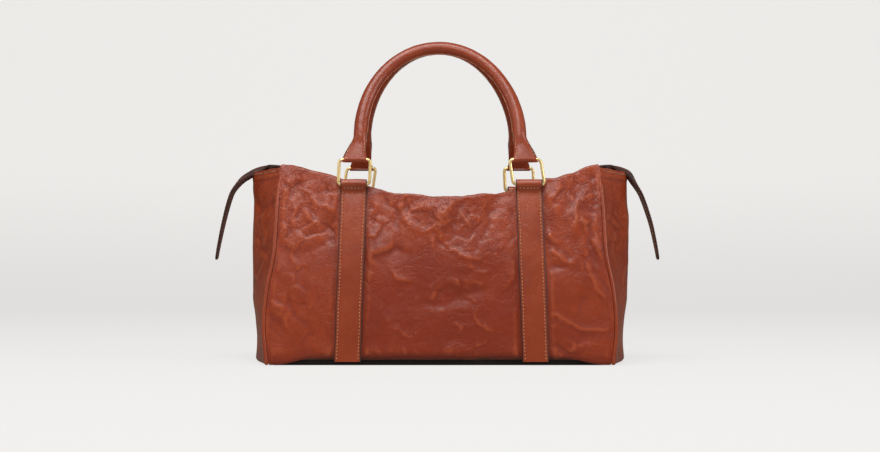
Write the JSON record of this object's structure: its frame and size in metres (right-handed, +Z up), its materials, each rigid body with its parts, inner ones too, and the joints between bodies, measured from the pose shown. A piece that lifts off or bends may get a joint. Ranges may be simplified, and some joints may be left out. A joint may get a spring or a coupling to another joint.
{
  "type": "satchel",
  "caption": "Soft leather top-handle satchel with a recessed top zip, ring-hung rolled handles, folded gussets and hanging zip ends.",
  "frame": {"origin": "middle of the base, on the surface that the bag stands on", "axes": "+X along the bag's length to the right as seen from its front, +Y from front to back, +Z up"},
  "size_m": [0.5206, 0.1664, 0.3732],
  "materials": {
    "crinkled_leather": "satin",
    "smooth_leather": "satin",
    "dark_leather": "satin",
    "lining_cloth": "matte",
    "stiffener_board": "matte",
    "cotton_cord": "matte",
    "zip_tape": "matte",
    "gold_metal": "polished"
  },
  "bodies": {
    "bag_body": {"front_panel": "crinkled_leather", "back_panel": "crinkled_leather", "left_gusset": "crinkled_leather", "right_gusset": "crinkled_leather", "base_panel": "crinkled_leather", "base_board": "stiffener_board", "front_lining": "lining_cloth", "back_lining": "lining_cloth", "left_lining": "lining_cloth", "right_lining": "lining_cloth", "base_lining": "lining_cloth", "front_left_piping": "crinkled_leather", "front_right_piping": "crinkled_leather", "back_left_piping": "crinkled_leather", "back_right_piping": "crinkled_leather", "front_left_strap": "smooth_leather", "front_right_strap": "smooth_leather", "back_left_strap": "smooth_leather", "back_right_strap": "smooth_leather", "left_end_front_facing": "smooth_leather", "left_end_back_facing": "smooth_leather", "right_end_front_facing": "smooth_leather", "right_end_back_facing": "smooth_leather", "left_end_front_tape": "zip_tape", "left_end_back_tape": "zip_tape", "right_end_front_tape": "zip_tape", "right_end_back_tape": "zip_tape", "left_end_teeth": "gold_metal", "right_end_teeth": "gold_metal", "left_zip_tab": "dark_leather", "right_zip_tab": "dark_leather"},
    "front_left_ring": {"front_left_ring": "gold_metal"},
    "front_right_ring": {"front_right_ring": "gold_metal"},
    "front_handle": {"front_handle_cover": "smooth_leather", "front_handle_core": "cotton_cord", "front_handle_left_tab": "smooth_leather", "front_handle_right_tab": "smooth_leather"},
    "back_left_ring": {"back_left_ring": "gold_metal"},
    "back_right_ring": {"back_right_ring": "gold_metal"},
    "back_handle": {"back_handle_cover": "smooth_leather", "back_handle_core": "cotton_cord", "back_handle_left_tab": "smooth_leather", "back_handle_right_tab": "smooth_leather"},
    "front_zip_flap": {"front_flap_facing": "smooth_leather", "front_flap_tape": "zip_tape", "front_flap_teeth": "gold_metal"},
    "back_zip_flap": {"back_flap_facing": "smooth_leather", "back_flap_tape": "zip_tape", "back_flap_teeth": "gold_metal"},
    "zip_slider": {"zip_slider": "gold_metal"},
    "zip_puller": {"zip_puller": "gold_metal"},
    "left_tail": {"left_zip_tail": "dark_leather"},
    "right_tail": {"right_zip_tail": "dark_leather"}
  },
  "joints": [
    {"name": "front_left_ring_swing", "type": "hinge", "parent": "bag_body", "child": "front_left_ring", "pos_m": [-0.097, -0.06007, 0.2026], "axis": [1, 0, 0], "range_deg": [0, 150]},
    {"name": "front_right_ring_swing", "type": "hinge", "parent": "bag_body", "child": "front_right_ring", "pos_m": [0.097, -0.06007, 0.2026], "axis": [1, 0, 0], "range_deg": [0, 150]},
    {"name": "front_handle_swing", "type": "hinge", "parent": "front_left_ring", "child": "front_handle", "pos_m": [-0.097, -0.06007, 0.2309], "axis": [1, 0, 0], "range_deg": [0, 40]},
    {"name": "back_left_ring_swing", "type": "hinge", "parent": "bag_body", "child": "back_left_ring", "pos_m": [-0.097, 0.06007, 0.2026], "axis": [-1, 0, 0], "range_deg": [0, 150]},
    {"name": "back_right_ring_swing", "type": "hinge", "parent": "bag_body", "child": "back_right_ring", "pos_m": [0.097, 0.06007, 0.2026], "axis": [-1, 0, 0], "range_deg": [0, 150]},
    {"name": "back_handle_swing", "type": "hinge", "parent": "back_left_ring", "child": "back_handle", "pos_m": [-0.097, 0.06007, 0.2309], "axis": [-1, 0, 0], "range_deg": [0, 40]},
    {"name": "front_zip_open", "type": "hinge", "parent": "bag_body", "child": "front_zip_flap", "pos_m": [0, -0.05403, 0.1862], "axis": [1, 0, 0], "range_deg": [0, 65]},
    {"name": "back_zip_open", "type": "hinge", "parent": "bag_body", "child": "back_zip_flap", "pos_m": [0, 0.05403, 0.1862], "axis": [-1, 0, 0], "range_deg": [0, 65]},
    {"name": "zip_slide", "type": "slide", "parent": "bag_body", "child": "zip_slider", "axis": [1, 0, 0], "range_m": [-0.216, 0]},
    {"name": "puller_swing", "type": "hinge", "parent": "zip_slider", "child": "zip_puller", "pos_m": [0.108, 0, 0.18935], "axis": [0, -1, 0], "range_deg": [0, 160]},
    {"name": "left_tail_lift", "type": "hinge", "parent": "bag_body", "child": "left_tail", "pos_m": [-0.219, 0, 0.2232], "axis": [0, 1, 0], "range_deg": [0, 45]},
    {"name": "right_tail_lift", "type": "hinge", "parent": "bag_body", "child": "right_tail", "pos_m": [0.219, 0, 0.2232], "axis": [0, -1, 0], "range_deg": [0, 45]}
  ],
  "couplings": [
    {"joint": "front_right_ring_swing", "follows": "front_left_ring_swing", "ratio": 1},
    {"joint": "back_right_ring_swing", "follows": "back_left_ring_swing", "ratio": 1}
  ]
}
